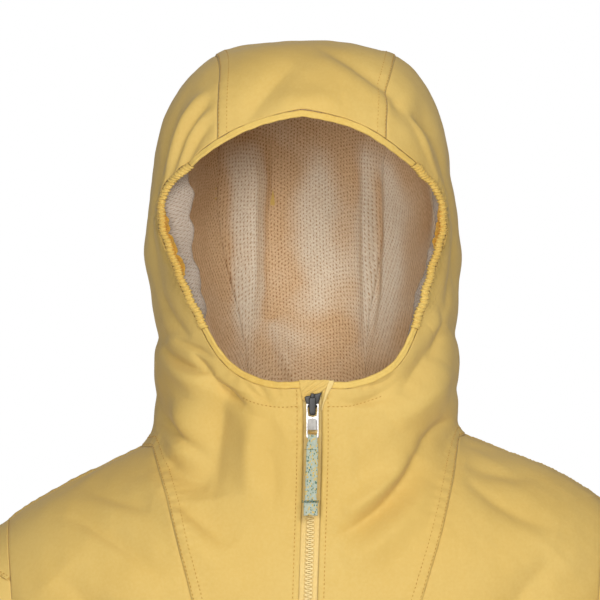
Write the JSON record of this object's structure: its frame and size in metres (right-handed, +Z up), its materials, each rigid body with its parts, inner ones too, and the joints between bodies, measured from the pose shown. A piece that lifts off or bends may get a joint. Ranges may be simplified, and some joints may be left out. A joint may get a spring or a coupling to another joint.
{
  "type": "anorak pullover",
  "caption": "Hooded pullover jacket with a half-length front zip, mesh-lined hood, set-in sleeves and plain cuffs and hem, hollow as worn",
  "frame": {"origin": "the middle of the neck line, at the height of the inner ends of the shoulder seams", "axes": "+Z up, the garment faces -Y, +X is the wearer's left"},
  "size_m": [0.7896, 0.2794, 0.9703],
  "materials": {
    "shell": "matte woven shell, mustard yellow",
    "mesh": "off-white knitted mesh",
    "tape": "pale yellow zip tape and moulded teeth",
    "slider": "near-black enamel",
    "metal": "bright metal",
    "webbing": "mint green webbing with a fine pattern"
  },
  "bodies": {
    "garment": {"front": "shell", "back": "shell", "hem_casing": "shell", "hood_centre": "shell", "hood_and_front_left": "shell", "hood_and_front_right": "shell", "face_roll_chin_left": "shell", "face_roll_chin_right": "shell", "face_roll_elastic_left": "shell", "face_roll_elastic_right": "shell", "face_roll_top": "shell", "sleeve_front_left": "shell", "sleeve_back_left": "shell", "sleeve_front_right": "shell", "sleeve_back_right": "shell", "sleeve_cap_left": "shell", "sleeve_cap_right": "shell", "cuff_left": "shell", "cuff_right": "shell", "zip_garage": "shell", "hood_lining_left": "mesh", "hood_lining_right": "mesh", "hood_lining_centre": "mesh", "zip_tape_left": "tape", "zip_tape_right": "tape", "zip_chain": "tape", "zip_stop": "tape", "zip_slider": "slider"},
    "pull": {"zip_pull": "metal", "zip_webbing": "webbing"}
  },
  "joints": [
    {"name": "pull_hinge", "type": "hinge", "parent": "garment", "child": "pull", "pos_m": [0.00749, -0.14094, 0.031], "axis": [-1, 0, 0], "range_deg": [0, 150]}
  ]
}
